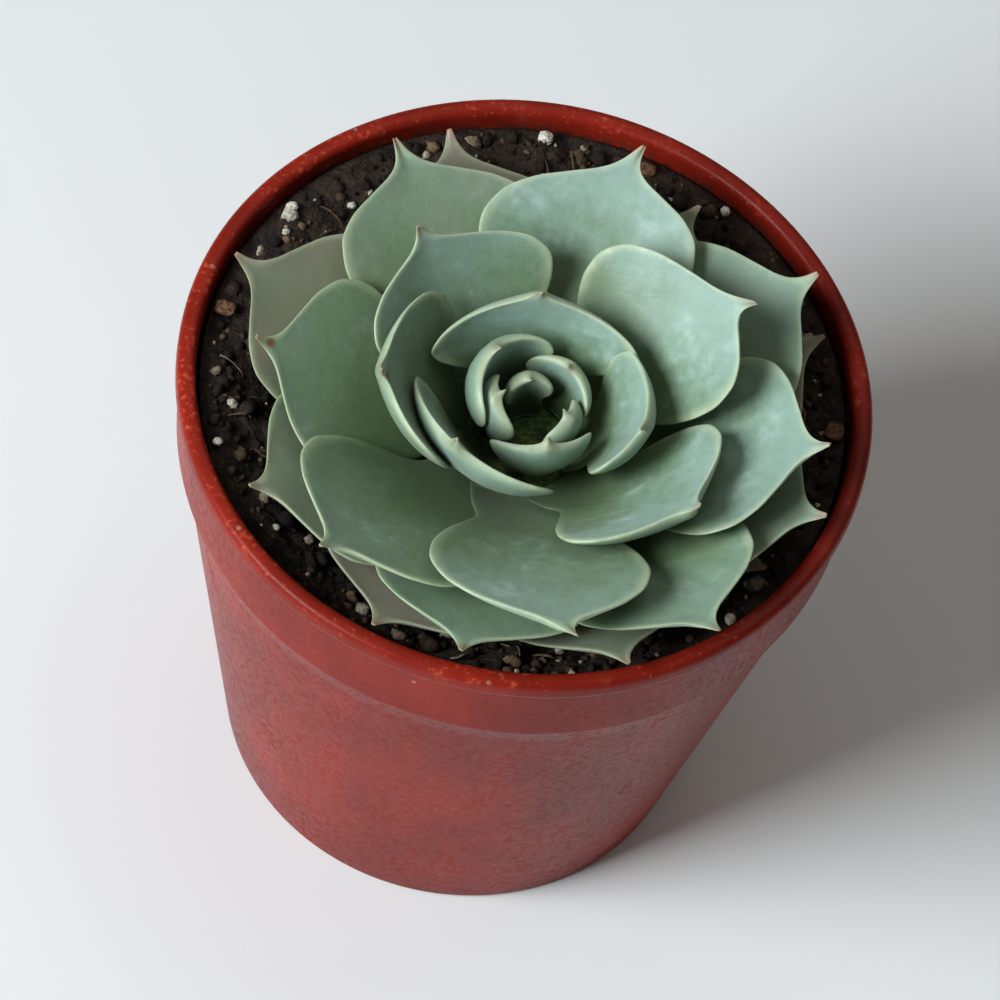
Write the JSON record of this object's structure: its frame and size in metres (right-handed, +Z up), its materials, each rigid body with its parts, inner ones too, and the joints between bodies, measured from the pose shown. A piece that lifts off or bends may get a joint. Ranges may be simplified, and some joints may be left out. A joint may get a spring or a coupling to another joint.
{
  "type": "potted rosette succulent",
  "caption": "Low rosette succulent with pointed fleshy leaves on a short stem, rooted in dished peat soil in a tapered round nursery pot with a collar and drain holes.",
  "frame": {"origin": "middle of the pot's foot, on the surface it stands on", "axes": "+Z up along the pot's axis; -Y towards the side the plant is looked at from; +X to its right"},
  "size_m": [0.055, 0.0557, 0.0594],
  "materials": {
    "pot_plastic": "satin",
    "peat_soil": "rough",
    "stem_skin": "matte",
    "young_leaf": "waxy matte",
    "grey_green_leaf": "waxy matte",
    "old_leaf": "waxy matte",
    "perlite": "rough",
    "bark": "rough"
  },
  "bodies": {
    "root": {"pot": "pot_plastic", "soil": "peat_soil", "stem": "stem_skin", "leaf_01": "young_leaf", "leaf_02": "young_leaf", "leaf_03": "young_leaf", "leaf_04": "young_leaf", "leaf_05": "young_leaf", "leaf_06": "young_leaf", "leaf_07": "young_leaf", "leaf_08": "young_leaf", "leaf_09": "young_leaf", "leaf_10": "grey_green_leaf", "leaf_11": "grey_green_leaf", "leaf_12": "grey_green_leaf", "leaf_13": "grey_green_leaf", "leaf_14": "grey_green_leaf", "leaf_15": "grey_green_leaf", "leaf_16": "grey_green_leaf", "leaf_17": "grey_green_leaf", "leaf_18": "grey_green_leaf", "leaf_19": "grey_green_leaf", "leaf_20": "grey_green_leaf", "leaf_21": "grey_green_leaf", "leaf_22": "grey_green_leaf", "leaf_23": "old_leaf", "leaf_24": "old_leaf", "leaf_25": "old_leaf", "leaf_26": "old_leaf", "leaf_27": "old_leaf", "leaf_28": "old_leaf", "leaf_29": "old_leaf", "leaf_30": "old_leaf", "leaf_31": "old_leaf", "perlite_1": "perlite", "perlite_2": "perlite", "perlite_3": "perlite", "perlite_4": "perlite", "perlite_5": "perlite", "bark_chip_1": "bark", "bark_chip_2": "bark", "bark_chip_3": "bark"}
  },
  "joints": []
}
